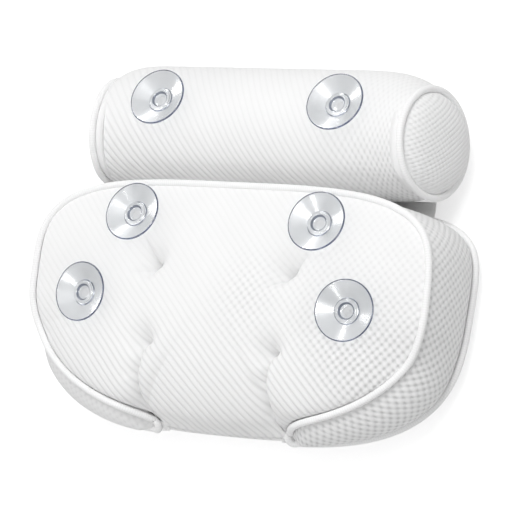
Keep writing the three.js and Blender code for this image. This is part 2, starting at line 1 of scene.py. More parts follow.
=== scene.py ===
# %% [markdown]
# # A bath pillow with a neck roll
# The pillow lies on its front with the suction cups up. The frame holds the imported solids in metres:
# +X to the right as seen from the cup side, +Y to the neck roll, +Z out of the back panel. Each soft
# piece is built here again as cloth in the place of its solid. The stuffed ones and the piping move with
# the same body, and the hinge strip is tied to neither body.

# %% Load the frame
import json
import math

import bpy
import numpy as np
from mathutils import Matrix, Vector


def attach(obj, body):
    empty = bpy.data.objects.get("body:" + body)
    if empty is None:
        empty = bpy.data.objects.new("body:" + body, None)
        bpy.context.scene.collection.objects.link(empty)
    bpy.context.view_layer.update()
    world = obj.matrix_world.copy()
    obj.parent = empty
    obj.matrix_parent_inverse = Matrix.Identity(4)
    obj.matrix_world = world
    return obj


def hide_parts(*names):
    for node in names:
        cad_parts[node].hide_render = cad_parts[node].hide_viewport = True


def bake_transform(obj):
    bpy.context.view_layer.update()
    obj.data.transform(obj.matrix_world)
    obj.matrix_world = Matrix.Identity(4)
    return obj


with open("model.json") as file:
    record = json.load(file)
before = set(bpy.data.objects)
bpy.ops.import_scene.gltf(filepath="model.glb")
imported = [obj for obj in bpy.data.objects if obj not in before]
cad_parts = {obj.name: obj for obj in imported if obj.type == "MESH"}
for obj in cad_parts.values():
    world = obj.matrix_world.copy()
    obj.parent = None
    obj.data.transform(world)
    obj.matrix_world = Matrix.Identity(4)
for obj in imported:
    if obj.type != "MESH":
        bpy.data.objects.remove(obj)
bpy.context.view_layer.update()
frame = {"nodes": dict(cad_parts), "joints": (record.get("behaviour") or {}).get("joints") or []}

# %% [markdown]
# ## Camera
# The photograph looks down on the back of the pillow from its lower right, through a long lens, with the
# camera a little rolled. A camera can be aimed with a constraint, but its roll is then hard to set. So its
# right, up and backward directions are worked out here and put into its matrix.

# %% Camera
camera_yaw, camera_pitch, camera_roll = (math.radians(angle) for angle in (30.7, 11.5, 10.3))
camera_distance, pixels_per_metre = 2.4, 1094.5
image_width, sensor_width = 512, 36.0
look_at = Vector((0.0, -0.00224, 0.052))

backward = Vector((
    math.sin(camera_yaw) * math.cos(camera_pitch),
    -math.sin(camera_pitch),
    math.cos(camera_yaw) * math.cos(camera_pitch),
))
level_right = Vector((math.cos(camera_yaw), 0.0, -math.sin(camera_yaw)))
level_up = backward.cross(level_right)
right = math.cos(camera_roll) * level_right + math.sin(camera_roll) * level_up
up = backward.cross(right)


def add_object(name, data):
    made = bpy.data.objects.new(name, data)
    bpy.context.scene.collection.objects.link(made)
    return made


camera = add_object("camera", bpy.data.cameras.new("camera"))
facing = Matrix((right, up, backward)).transposed().to_4x4()
camera.matrix_world = Matrix.Translation(look_at + camera_distance * backward) @ facing
camera.data.sensor_width = sensor_width
camera.data.lens = sensor_width * pixels_per_metre * camera_distance / image_width
camera.data.clip_end = 50.0
bpy.context.scene.camera = camera
print("lens", round(camera.data.lens, 1), "mm")

# %% [markdown]
# ## Colours and nodes
# Colours are written as sRGB hex values, as a paint chart gives them. Blender's sockets want linear light,
# so one function converts them. Another adds a node, sets and links it and gives one of its outputs. The
# names of all these node types begin with ShaderNode, so only the rest is written.

# %% Helpers for materials
def linear(hex_colour):
    channels = [int(hex_colour[i:i + 2], 16) / 255 for i in (1, 3, 5)]
    return [c / 12.92 if c <= 0.04045 else ((c + 0.055) / 1.055) ** 2.4 for c in channels] + [1.0]


def set_inputs(tree, node, inputs):
    """Link each input that is given a socket, and set the others. A tuple gives the inputs in order."""
    for name, value in inputs.items() if isinstance(inputs, dict) else enumerate(inputs):
        if isinstance(value, bpy.types.NodeSocket):
            tree.links.new(value, node.inputs[name])
        else:
            node.inputs[name].default_value = value


def add_node(tree, kind, inputs=(), output=0, **settings):
    node = tree.nodes.new("ShaderNode" + kind)
    for name, value in settings.items():
        setattr(node, name, value)
    set_inputs(tree, node, inputs)
    return node.outputs[output]


def start_material(name):
    material = bpy.data.materials.new(name)
    material.use_nodes = True
    tree = material.node_tree
    return material, tree, tree.nodes["Principled BSDF"]


print("grey #808080 is", round(linear("#808080")[0], 3), "in linear light")

# %% [markdown]
# ## Floor
# A plain white floor carries the pillow and keeps its shadow. The photograph's ground is pure white. More
# light would bleach the pillow too, so the floor itself glows a little, for the camera only.

# %% Floor
floor_size = 12.0
floor_lift = 0.58

floor_material, tree, shader = start_material("matt white floor")
to_camera = add_node(tree, "LightPath", output="Is Camera Ray")
lift = add_node(tree, "Math", (to_camera, floor_lift), operation="MULTIPLY")
set_inputs(tree, shader, {
    "Base Color": linear("#e0e0e0"), "Roughness": 0.9,
    "Emission Color": linear("#ffffff"), "Emission Strength": lift,
})

bpy.ops.mesh.primitive_plane_add(size=floor_size)
floor = bpy.context.object
floor.name = "floor"
floor.data.materials.append(floor_material)
print("floor", floor_size, "m wide")

# %% [markdown]
# ## Lamps and world
# The light falls from the top of the picture, a little from the left, as on a product table. One wide lamp
# shades the shape, and a weak one lifts its lower edges. Five small ones show only in reflections, as bright
# wedges on the cups' walls. An even world fills the shadows, and is white where it is mirrored or seen through
# the cups. Those lamps and that white go out once a ray has met a matt surface, which Light Path's Diffuse
# Depth counts. Otherwise the cups would throw bright rings on the cloth.

# %% Lamps
def before_cloth(tree):
    """1 for a ray that hasn't met a matt surface yet, else 0."""
    met = add_node(tree, "LightPath", output="Diffuse Depth")
    return add_node(tree, "Math", (met, 1.0), operation="LESS_THAN")


# Name, shares of backward, up and right, distance, width and height in metres, watts, mirrored only
softboxes = [
    ("key", (0.80, 0.54, -0.26), 2.6, 1.4, 1.4, 34.0, False),
    ("fill_low", (0.45, -0.60, -0.65), 2.4, 1.0, 1.0, 6.0, False),
    ("strip_near", (0.96, 0.19, -0.07), 2.0, 0.55, 0.9, 24.0, True),
    ("strip_low", (-0.37, 0.30, -0.87), 2.0, 0.45, 1.0, 10.0, True),
    ("strip_far", (0.05, 0.93, -0.35), 2.0, 0.25, 1.3, 15.0, True),
    ("strip_over", (0.80, -0.20, -0.58), 2.0, 0.2, 0.6, 6.0, True),
    ("strip_under", (0.85, -0.42, -0.30), 2.0, 0.2, 0.3, 3.0, True),
]

for name, (near, high, beside), distance, width, height, power, mirrored in softboxes:
    direction = near * backward + high * up + beside * right
    lamp_data = bpy.data.lights.new(name, "AREA")
    lamp_data.shape = "RECTANGLE"
    lamp_data.size = width
    lamp_data.size_y = height
    lamp_data.energy = power
    lamp = add_object(name, lamp_data)
    lamp.location = look_at + distance * direction.normalized()
    lamp.rotation_mode = "QUATERNION"
    lamp.rotation_quaternion = direction.to_track_quat("Z", "Y")
    lamp.visible_camera = False
    lamp.visible_glossy = mirrored
    lamp.visible_diffuse = not mirrored
    if mirrored:
        lamp_data.use_nodes = True
        tree = lamp_data.node_tree
        set_inputs(tree, tree.nodes["Emission"], {"Strength": before_cloth(tree)})
    print(name, "stands at", [round(v, 2) for v in lamp.location])

# %% World
world_fill = 0.51

world = bpy.data.worlds.new("studio")
world.use_nodes = True
bpy.context.scene.world = world
tree = world.node_tree
seen = add_node(tree, "LightPath", output="Is Camera Ray")
for kind in ("Is Glossy Ray", "Is Transmission Ray"):
    ray = add_node(tree, "LightPath", output=kind)
    seen = add_node(tree, "Math", (seen, ray), operation="MAXIMUM")
seen = add_node(tree, "Math", (seen, before_cloth(tree)), operation="MULTIPLY")
level = add_node(tree, "MapRange", {0: seen, 3: world_fill, 4: 1.0})
set_inputs(tree, tree.nodes["Background"], {"Color": linear("#ffffff"), "Strength": level})
bpy.context.scene.view_settings.view_transform = "Standard"
print("world fills the shadows with", world_fill)

# %% [markdown]
# ## Seams of the cushion
# The cover is cut from a back panel, a front panel and a side band. It could be sculpted, but the pattern
# is plain geometry, so formulas give it exactly: two rounded outlines, one for each seam, which meet at a
# tip near the bottom on either side. Sizes are in millimetres, and y counts from the widest line.

# %% Seams
back_half_width, back_reach, back_squareness = 204.0, (99.0, 118.2), (3.8, 2.19)
front_half_width, front_reach, front_squareness = 207.0, (104.0, 121.5), (5.0, 3.0)
front_seam_height, back_seam_height, back_seam_fall = 18.0, 107.0, 18.3
upper_bend, upper_slope, lower_bend, lower_slope = 51.0, 0.12, -18.0, 0.24
slope_bend, fall_bend = 30.0, 6.0
tip_angle, tip_height = math.radians(70), 53.3
hairpin_radius = 4.75
seam_drop_start, seam_drop_power, front_rise_power = 0.8, 3.5, 1.5


def mix(first, second, share):
    return first + (second - first) * share


def smoothstep(value, low, high):
    share = np.clip((value - low) / (high - low), 0, 1)
    return share * share * (3 - 2 * share)


def soft_ramp(value, width):
    """Zero below zero and then rising, with a bend of the given width."""
    near = np.clip(value + width / 2, 0, width)
    return np.where(value > width / 2, value, near * near / (2 * width))


def outline(angle, half_width, reach, squareness):
    """Rounded outline, with a reach and a squareness for its top and for its bottom."""
    across, along = np.cos(angle), np.sin(angle)
    reach, squareness = np.where(along > 0, *reach), np.where(along > 0, *squareness)
    size = (np.abs(across) ** squareness + np.abs(along) ** squareness) ** (-1 / squareness)
    return half_width * across * size, reach * along * size


def below_level(angle):
    """Angle below the widest line, the same on both sides."""
    return np.arctan2(-np.sin(angle), np.abs(np.cos(angle)))


def tip_progress(angle):
    return np.clip(below_level(angle) / tip_angle, 0, 1)


def back_seam(angle):
    x, y = outline(angle, back_half_width, back_reach, back_squareness)
    drop = np.clip((tip_progress(angle) - seam_drop_start) / (1 - seam_drop_start), 0, 1) ** seam_drop_power
    fall = upper_slope * soft_ramp(upper_bend - y, slope_bend)
    fall = fall + lower_slope * soft_ramp(lower_bend - y, slope_bend)
    fall = back_seam_fall - soft_ramp(back_seam_fall - fall, fall_bend)
    return np.stack([x, y, mix(back_seam_height - fall, tip_height + hairpin_radius, drop)], -1)


def front_seam(angle):
    x, y = outline(angle, front_half_width, front_reach, front_squareness)
    rise = tip_progress(angle) ** front_rise_power
    return np.stack([x, y, mix(front_seam_height, tip_height - hairpin_radius, rise)], -1)


def length(vectors):
    return np.linalg.norm(vectors, axis=-1)


def unit(vectors):
    return vectors / length(vectors)[..., None]


def outward_at(angle):
    return unit(front_seam(angle) * (1, 1, 0))


print("back seam is", round(2 * float(back_seam(np.array(0.0))[0])), "mm wide")

# %% [markdown]
# ## Surface of the cushion
# One function gives a point for an angle round the outline and a depth v: 0 is the middle of the back, 1 the
# back seam, 2 the front seam and 3 the middle of the front. All three panels come from it, so they meet.

# %% Surface
crown_height = 114.5
crown_power, side_roundness, bottom_roundness, bottom_round_start = 2.6, 1.15, 2.0, 0.2
band_bulge, band_top_tightness = 5.0, 4.0
lower_bulge, lower_bulge_start, lower_bulge_end, lower_bulge_width = 9.0, 0.15, 0.5, 0.15
tip_width = 2 * hairpin_radius / (back_seam_height - front_seam_height)
front_power, front_roundness, rest_depth = 8.0, 1.6, 0.5


def smooth_point(angle, v):
    back, front = back_seam(angle), front_seam(angle)
    inner = np.clip(v, 0, 1)
    roundness = mix(side_roundness, bottom_roundness, smoothstep(tip_progress(angle), bottom_round_start, 1))
    crown = mix(back[..., 2], crown_height, (1 - inner ** crown_power) ** (1 / roundness))
    on_back = np.stack([back[..., 0] * inner, back[..., 1] * inner, crown], -1)
    share = np.clip(v - 1, 0, 1)
    width = (back[..., 2] - front[..., 2]) / (back_seam_height - front_seam_height)
    freedom = 1 - np.maximum(0, np.sin(angle)) ** band_top_tightness
    lower = smoothstep(tip_progress(angle), lower_bulge_start, lower_bulge_end)
    lower = lower_bulge * lower * np.clip((width - tip_width) / lower_bulge_width, 0, 1)
    bulge = (band_bulge * width * freedom + lower) * 4 * share * (1 - share)
    on_band = mix(back, front, share[..., None]) + outward_at(angle) * bulge[..., None]
    under = np.clip(3 - v, 0, 1)
    fall = (1 - under ** front_power) ** (1 / front_roundness)
    height = np.maximum(0, front[..., 2] * (1 - fall) - rest_depth)
    on_front = np.stack([front[..., 0] * under, front[..., 1] * under, height], -1)
    region = np.asarray(v)[..., None]
    return np.where(region <= 1, on_back, np.where(region < 2, on_band, on_front))


def smooth_normal(angle, v, step=0.01):
    around = smooth_point(angle + step, v) - smooth_point(angle - step, v)
    outwards = smooth_point(angle, np.minimum(v + step, 3)) - smooth_point(angle, np.maximum(v - step, 0))
    normal = np.cross(outwards, around)
    size = length(normal)[..., None]
    return np.where(size > 1e-9, normal / np.maximum(size, 1e-9), (0, 0, 1))


print("crown stands", crown_height - back_seam_height, "mm over the back seam")

# %% [markdown]
# ## From the pattern to the frame
# The pattern's zero is at the cushion's widest line, and the frame's is at the middle of the whole part. The
# line that the roll folds on is known in both, so it gives the step from one to the other.

# %% Roll sizes and the step to the frame
seam_gap = 0.3
piping_radius = 3.2
roll_gap, roll_half_reach, roll_half_height, roll_rest_depth = 1.5, 59.5, 56.5, 1.0
roll_axis_y = max(back_reach[0], front_reach[0]) + roll_gap + roll_half_reach
roll_axis_z = roll_half_height - roll_rest_depth
web_thickness, web_rise = 2.4, 1.6
web_height = front_seam_height + piping_radius + web_rise + web_thickness / 2
web_level = (web_height - roll_axis_z) / roll_half_height
web_lean = math.atan2(-roll_half_height * math.sqrt(1 - web_level ** 2), roll_half_reach * web_level)


def roll_place(lean):
    reach, height = roll_half_reach ** 2 * math.sin(lean), roll_half_height ** 2 * math.cos(lean)
    size = math.hypot(roll_half_reach * math.sin(lean), roll_half_height * math.cos(lean))
    return roll_axis_y + reach / size, roll_axis_z + height / size


joints = {joint["name"]: joint for joint in frame["joints"]}
hinge_y, hinge_z = roll_place(web_lean)
hinge_y += math.sin(web_lean) * (seam_gap + web_thickness / 2)
hinge_z += math.cos(web_lean) * (seam_gap + web_thickness / 2)
pattern_to_frame = joints["roll_fold"]["pos_m"][1] * 1000 - hinge_y
height_error = joints["roll_fold"]["pos_m"][2] * 1000 - hinge_z
print("frame y is pattern y", round(pattern_to_frame, 3), "mm, and heights differ by", round(height_error, 4))


def to_frame(points):
    return (np.asarray(points, float).reshape(-1, 3) + (0, pattern_to_frame, 0)) / 1000


def from_frame(place):
    return np.array(place) * 1000 - (0, pattern_to_frame, 0)


def under_cups(points, prefixes, reach):
    """True for the points that lie within the reach of a cup's seat."""
    seats = [from_frame(joints[name]["pos_m"]) for name in joints if name.startswith(prefixes)]
    return np.any([length(points - seat) < reach for seat in seats], axis=0)


# %% [markdown]
# ## Grids of cloth
# Every panel is a grid of quads, as woven cloth is, because the cloth solver and the normals like even
# cells. A round panel could be a fan of triangles, but those crowd at its middle. A square grid bent to a
# disc stays even.

# %% Grid helpers
def grid_faces(rows, columns, closed=False):
    row, column = np.meshgrid(np.arange(rows - 1), np.arange(columns if closed else columns - 1), indexing="ij")
    after = (column + 1) % columns
    near, far = row * columns, (row + 1) * columns
    return np.stack([near + column, near + after, far + after, far + column], -1).reshape(-1, 4).tolist()


def full_turn(count):
    return np.arange(count) * 2 * math.pi / count


def make_object(name, points, faces, flip=False):
    mesh = bpy.data.meshes.new(name)
    mesh.from_pydata(to_frame(points).tolist(), [], [face[::-1] for face in faces] if flip else faces)
    mesh.polygons.foreach_set("use_smooth", [True] * len(mesh.polygons))
    return add_object(name, mesh)


def set_attribute(made, name, values):
    values = np.asarray(values, np.float32)
    scalar = values.size == len(made.data.vertices)
    attribute = made.data.attributes.new(name, "FLOAT" if scalar else "FLOAT_VECTOR", "POINT")
    attribute.data.foreach_set("value" if scalar else "vector", values.ravel())


def disc_grid(columns, rows):
    """Share of the way to the edge and angle, for a square grid bent to a disc."""
    s, t = np.meshgrid(np.linspace(-1, 1, columns), np.linspace(-1, 1, rows))
    x, y = s * np.sqrt(1 - t * t / 2), t * np.sqrt(1 - s * s / 2)
    return np.minimum(np.hypot(x, y), 1), np.arctan2(y, x)


print("a disc of 5 by 5 points has", len(grid_faces(5, 5)), "quads")

# %% [markdown]
# ## Filling the cloth
# Padded fabric takes its shape from its cut, from where it is held and from the pressure of its filling. The
# panels are cut to their padded shape. For the rest, Blender's cloth solver is better than a displacement map:
# each panel is pinned along its seams, at the tufts and folds and under the cups, and blown up for twenty
# frames. The cloth is stiff, so it swells by about a millimetre at most, and less where it is held. The result
# is carried to a grid twice as fine, which holds the sharp folds.

# %% Cloth simulation
cloth_frames = 20
cloth_settings = {
    "quality": 6, "mass": 0.3, "tension_stiffness": 20, "compression_stiffness": 20, "shear_stiffness": 8,
    "bending_stiffness": 2, "vertex_group_mass": "pins", "use_pressure": True,
}


def filling_move(name, points, pins, pressure, cap, closed, flip):
    """How far the filling pushes each point of a panel, in millimetres."""
    rows, columns = points.shape[:2]
    panel = make_object(name + "_slack", points, grid_faces(rows, columns, closed), flip)
    group = panel.vertex_groups.new(name="pins")
    levels = np.round(np.clip(pins, 0, 1).ravel().astype(float), 1)
    for level in np.unique(levels[levels > 0]):
        group.add(np.flatnonzero(levels == level).tolist(), float(level), "REPLACE")
    cloth = panel.modifiers.new("filling", "CLOTH")
    for setting, value in cloth_settings.items():
        setattr(cloth.settings, setting, value)
    cloth.settings.uniform_pressure_force = pressure
    cloth.settings.effector_weights.gravity = 0
    cloth.collision_settings.use_collision = False
    for number in range(1, cloth_frames + 1):
        bpy.context.scene.frame_set(number)
    filled = panel.evaluated_get(bpy.context.evaluated_depsgraph_get())
    after = np.empty(rows * columns * 3)
    filled.data.vertices.foreach_get("co", after)
    move = (after.reshape(-1, 3) - to_frame(points)).reshape(points.shape) * 1000
    size = length(move)[..., None]
    bpy.context.scene.frame_set(1)
    bpy.data.meshes.remove(panel.data)
    print(name, "swells by", round(float(size.max()), 2), "mm at most")
    free = 1 - np.asarray(pins, float)[..., None]
    return move * np.minimum(1, cap / np.maximum(size, 1e-9)) * free


print("cloth simulated for", cloth_frames, "frames")

# %% Stuffed panel on the fine grid
fabric_thickness = 3.0


def add_midpoints(grid, axis, wraps):
    """Put a point between each two neighbours, on a smooth curve through the four nearest."""
    grid = np.moveaxis(grid, axis, 0)
    pad = [(1, 2)] + [(0, 0)] * (grid.ndim - 1)
    wide = np.pad(grid, pad, mode="wrap" if wraps else "edge")
    count = len(grid) if wraps else len(grid) - 1
    middle = (9 * (wide[1:count + 1] + wide[2:count + 2]) - wide[:count] - wide[3:count + 3]) / 16
    fine = np.empty((len(grid) + count,) + grid.shape[1:])
    fine[0::2], fine[1::2] = grid, middle
    return np.moveaxis(fine, 0, axis)


def stuffed(name, coarse, fine, pins, pressure, cap, closed=False, flip=False):
    move = filling_move(name, coarse, pins, pressure, cap, closed, flip)
    move = add_midpoints(add_midpoints(move, 0, False), 1, closed)
    points = fine + move
    points[..., 2] = np.maximum(points[..., 2], 0)
    made = make_object(name, points, grid_faces(*fine.shape[:2], closed), flip)
    cloth = made.modifiers.new("thickness", "SOLIDIFY")
    cloth.thickness = fabric_thickness / 1000
    cloth.offset = -1
    return made


print("cloth", fabric_thickness, "mm thick")

# %% [markdown]
# ## Polyester air mesh
# The cover is a knitted spacer fabric: two thin faces held apart by upright yarns. Its face shows diagonal
# wales with a row of small holes between them. Where the cloth is pulled the other way, the second diagonal
# opens too, and it looks like a lattice. The yarn is white, matt and a little fuzzy. The grooves and holes, and
# the creases, are greyed in the colour: painted shade where little light gets in. An image texture could show
# this, but sines of the cloth's own coordinates stay sharp and follow the folds. Yarn is about 0.3 mm thick,
# and is drawn at 0.9 mm so that it shows at all.

# %% Knit of the air mesh
wale_pitch, wale_height, groove_sharpness = 5.8, 0.5, 3.0
yarn_size, yarn_height = 0.9, 0.25
knit_drift, knit_sway = 70.0, 4.0

air_mesh_material, tree, shader = start_material("white polyester air mesh")
cloth = add_node(tree, "Attribute", output="Vector", attribute_name="cloth_mm")
names = ("lattice", "relief", "crease")
lattice, relief, crease = (add_node(tree, "Attribute", output="Fac", attribute_name=name) for name in names)
drift = add_node(tree, "TexNoise", {"Vector": cloth, "Scale": 1 / knit_drift, "Detail": 1.0}, "Color")
sway = add_node(tree, "VectorMath", (drift, (knit_sway, knit_sway, 0.0)), operation="MULTIPLY")
place = add_node(tree, "VectorMath", (cloth, sway), operation="ADD")
turns = 2 * math.pi / wale_pitch / math.sqrt(2)
valleys, grooves = [], []
for heading in ((turns, turns, 0), (turns, -turns, 0)):
    phase = add_node(tree, "VectorMath", (place, heading), "Value", operation="DOT_PRODUCT")
    wave = add_node(tree, "Math", (phase,), operation="SINE")
    valleys.append(add_node(tree, "MapRange", (wave, 1.0, -1.0)))
    grooves.append(add_node(tree, "Math", (valleys[-1], groove_sharpness), operation="POWER"))
holes = add_node(tree, "Math", (valleys[0], valleys[1]), operation="MULTIPLY")
crossed = add_node(tree, "Math", (grooves[0], grooves[1]), operation="ADD")
crossed = add_node(tree, "Math", (crossed, 0.5, holes), operation="MULTIPLY_ADD")
depth = add_node(tree, "Mix", {0: lattice, 2: grooves[0], 3: crossed})
depth = add_node(tree, "Math", (depth, relief), operation="MULTIPLY")
yarn = add_node(tree, "TexNoise", {"Vector": cloth, "Scale": 1 / yarn_size, "Detail": 2.0}, "Fac")
fuzz = add_node(tree, "Math", (yarn, yarn_height), operation="MULTIPLY")
height = add_node(tree, "Math", (fuzz, depth), operation="SUBTRACT")
bump = add_node(tree, "Bump", {"Height": height, "Distance": wale_height / 1000, "Strength": 1.0})
print("knit of", len(tree.nodes), "nodes")

# %% Colour of the air mesh
groove_shade = 0.4

whites = {0: drift.node.outputs["Fac"], 6: linear("#fbfbfb"), 7: linear("#f5f5f5")}
face = add_node(tree, "Mix", whites, 2, data_type="RGBA")
# Painted shade: the colour is mixed toward grey #d4d4d4 by the depth of the grooves and holes, and along the
# creases
shade = add_node(tree, "Math", (depth, groove_shade, crease), operation="MULTIPLY_ADD", use_clamp=True)
colour = add_node(tree, "Mix", {0: shade, 6: face, 7: linear("#d4d4d4")}, 2, data_type="RGBA")
set_inputs(tree, shader, {
    "Base Color": colour, "Normal": bump, "Roughness": 0.85,
    "Specular IOR Level": 0.25, "Sheen Weight": 0.1,
})
print("wales", wale_pitch, "mm apart")

# %% Dressing a panel
def dress(made, cloth, lattice, relief, body, nodes):
    """Give a stuffed panel its cloth and say what it stands for."""
    for name, values in (("cloth_mm", cloth), ("lattice", lattice), ("relief", relief)):
        set_attribute(made, name, values)
    made.data.materials.append(air_mesh_material)
    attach(made, body)
    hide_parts(*nodes)
    print(made.name, "stands for", ", ".join(nodes))


# %% [markdown]
# ## Tufts and folds
# Four stitches pull the back panel down to the filling. Each makes a pit that is steeper on its lower side,
# and short folds run out of it. From the lower two a crease runs to the tip of the side band, so the bottom
# swells in three lobes. The pits could be sculpted, but written as depths they stay where the stitches are.

# %% Tufts and folds
upper_tuft, lower_tuft, tuft_depths = (69.5, 18.6), (66.3, -52.4), (29.0, 22.0)
tip_x, tip_y, _ = back_seam(np.array(-tip_angle))
tufts = [
    (side * x, y, depth)
    for (x, y), depth in zip((upper_tuft, lower_tuft), tuft_depths)
    for side in (-1, 1)
]
upper_left, upper_right, lower_left, lower_right = (tuft[:2] for tuft in tufts)

# Start, end, depth at the start and at the end, and spread to the left and to the right of that way
creases = [
    (lower_left, (-71.0, -80.0), 8.0, 11.0, (3.0, 12.0)),
    ((-71.0, -80.0), (-tip_x + 2.0, tip_y + 9.0), 11.0, 7.0, (3.0, 10.0)),
    ((-tip_x + 2.0, tip_y + 9.0), (-tip_x + 6.0, tip_y), 7.0, 2.0, (3.0, 5.0)),
    (lower_right, (61.0, -80.0), 8.0, 11.0, (3.0, 12.0)),
    ((61.0, -80.0), (tip_x - 7.0, tip_y + 9.0), 11.0, 9.0, (3.0, 12.0)),
    ((tip_x - 7.0, tip_y + 9.0), (tip_x - 8.0, tip_y), 9.0, 2.0, (3.0, 5.0)),
]
short_folds = [
    (upper_left, (-86.0, 50.0), 9.0, 2.0, (10.0, 2.5)),
    (upper_left, (-98.0, 10.0), 6.0, 0.0, (2.5, 9.0)),
    (upper_right, (92.0, 42.0), 9.0, 2.0, (10.0, 2.5)),
    (upper_right, (42.0, 0.0), 5.0, 0.0, (4.0, 6.0)),
    (lower_left, (-86.0, -40.0), 4.0, 0.0, (2.5, 7.0)),
    (lower_right, (46.0, -40.0), 4.0, 0.0, (2.5, 7.0)),
]
folds = creases + short_folds
print(len(tufts), "tufts and", len(folds), "folds")

# %% Their depths
fold_point, hollow_share, tuft_spread, tuft_point = 0.5, 0.3, 20.0, 0.4
steep_side, steepness = (0.6, -0.8), 0.75


def pinched(distance, spread, point):
    """Section of a fold or a pit, 1 at its bottom: a soft hollow with a sharp middle."""
    hollow = np.exp(-((distance / spread) ** 2))
    return hollow_share * hollow + (1 - hollow_share) * np.exp(-distance / (point * spread))


def fold_depth(x, y, start, end, start_depth, end_depth, spreads):
    run = np.subtract(end, start)
    share = np.clip(((x - start[0]) * run[0] + (y - start[1]) * run[1]) / run.dot(run), 0, 1)
    away_x, away_y = x - start[0] - share * run[0], y - start[1] - share * run[1]
    distance = np.hypot(away_x, away_y)
    side = (run[0] * away_y - run[1] * away_x) / np.maximum(np.hypot(*run) * distance, 1e-6)
    spread = mix(spreads[1], spreads[0], 0.5 + 0.5 * side)
    return mix(start_depth, end_depth, share) * pinched(distance, spread, fold_point)


def tuft_pit(x, y, tuft):
    away = np.stack([x - tuft[0], y - tuft[1]], -1)
    distance = length(away)
    toward_steep = away @ np.array(steep_side) / np.maximum(distance, 1e-6)
    reach = tuft_spread * (1 - steepness * (0.5 + 0.5 * toward_steep))
    return tuft[2] * pinched(distance, reach, tuft_point)


def skin(angle, v, inset):
    """Surface with the tufts and folds drawn in, and a further inset along the normal."""
    points = smooth_point(angle, v)
    x, y = points[..., 0], points[..., 1]
    depth = sum(tuft_pit(x, y, tuft) for tuft in tufts)
    depth = depth + np.max([fold_depth(x, y, *fold) for fold in folds], axis=0)
    depth = depth * np.clip(2 - v, 0, 1) + inset
    return points - smooth_normal(angle, v) * depth[..., None]


print("pits are", tuft_depths, "mm deep")

# %% [markdown]
# ## Back panel
# The panel turns in at its seam, under the piping, so that a dark line shows beside the cord. Along the top it
# lies flush, and along the bottom it meets the front panel edge to edge. Its knit lies in single wales on the
# left, and is stretched to a lattice on the right and in a patch beside the upper right tuft. Low down the knit
# is drawn deeper and its grooves greyer, as relief and as painted shade where less light falls. Along the folds
# the colour is darkened too, as painted shade in the creases.

# %% Back panel
seam_tuck_reach, edge_run, tip_turn = 4.0, 0.05, math.radians(3.5)
seam_share, pit_hold, fold_hold, most_fold_hold, cup_hold = 0.995, 0.08, 0.2, 0.95, 12.0


def past_tips(angle):
    """0 along the side band, and 1 along the bottom, between its tips."""
    return smoothstep(below_level(angle) - tip_angle, 0, tip_turn)


def panel_edge(share, angle):
    """How far a panel runs past its seam: along the bottom the two panels meet halfway."""
    return 0.5 * past_tips(angle) * np.clip((share - 1 + edge_run) / edge_run, 0, 1)


def panel_grid(columns, rows, seam, middle, tuck, top_ease, bottom_ease):
    """Panel from the depth v at its middle out to its seam, and the same points without tufts."""
    share, angle = disc_grid(columns, rows)
    v = np.abs(middle - share - panel_edge(share, angle))
    plan = length(seam(angle)[..., :2])
    ease = 1 - top_ease * smoothstep(np.sin(angle), 0.3, 0.9) - bottom_ease * past_tips(angle)
    points = skin(angle, v, tuck * ease * np.exp(-(1 - share) * plan / seam_tuck_reach))
    points[..., 2] = np.maximum(points[..., 2], 0)
    return share, smooth_point(angle, np.minimum(v, 1)), points


# Seam, v at the middle, how far the edge turns in, and how much of that is lost at the top and at the bottom
back_cut = (back_seam, 0, 4.5, 1.0, 0.6)
columns, rows = 171, 107
share, flat, coarse = panel_grid(columns, rows, *back_cut)
x, y = flat[..., 0], flat[..., 1]
pins = (share > seam_share).astype(float)
for tuft in tufts:
    pins = np.maximum(pins, np.clip(pit_hold * tuft_pit(x, y, tuft), 0, 1))
for fold in folds:
    pins = np.maximum(pins, np.clip(fold_hold * fold_depth(x, y, *fold), 0, most_fold_hold))
pins = np.maximum(pins, under_cups(coarse, ("cup_top", "cup_low"), cup_hold))

_, flat, fine = panel_grid(2 * columns - 1, 2 * rows - 1, *back_cut)
back_panel = stuffed("cushion_back", coarse, fine, pins, pressure=4.0, cap=4.0)

# %% Knit of the back panel
patch_x, patch_y, patch_width, patch_height, patch_open, patch_relief = 36, 2, 34, 40, 0.9, 0.22
top_relief, bottom_relief, lattice_loss, lattice_relief, right_relief = 0.2, 0.78, 0.3, 0.28, 0.3
lattice_lean, right_crowding = 0.9, 0.08
crease_shade, crease_width = 0.055, 0.5

# The ranges are in millimetres on the pattern
x, y = flat[..., 0], flat[..., 1]
patch = np.exp(-(((x - patch_x) / patch_width) ** 2 + ((y - patch_y) / patch_height) ** 2))
right_side = smoothstep(x - lattice_lean * np.maximum(0, -20 - y), 40, 115)
lattice = np.maximum(right_side, patch_open * patch)
# Partly painted shade: the relief grows towards the bottom, and with it the bump and the grey in the grooves
relief = (top_relief + bottom_relief * smoothstep(-y, -30, 100)) * (1 - lattice_loss * lattice)
relief = relief + lattice_relief * lattice * smoothstep(-y, -90, 0)
relief = relief + patch_relief * patch + right_relief * smoothstep(x, 60, 130) * smoothstep(-y, -30, 50)
cloth = np.stack([x + right_crowding * soft_ramp(x - 70, 60), y, 0 * x], -1)
dress(back_panel, cloth, lattice, relief, "cushion", ["cushion_back_panel", "cushion_fill"])
# Painted shade along the folds: the crease attribute darkens the colour there, where little light gets in
crease = [fold_depth(x, y, *run, crease_width * np.array(spreads)) for *run, spreads in folds]
set_attribute(back_panel, "crease", crease_shade * np.max(crease, axis=0))

# %% [markdown]
# ## Front panel
# The front is the side that lies on the floor here and against the bather in use. It is the same cloth,
# nearly flat, with a round edge. It gets a coarser grid, because it has no tufts.

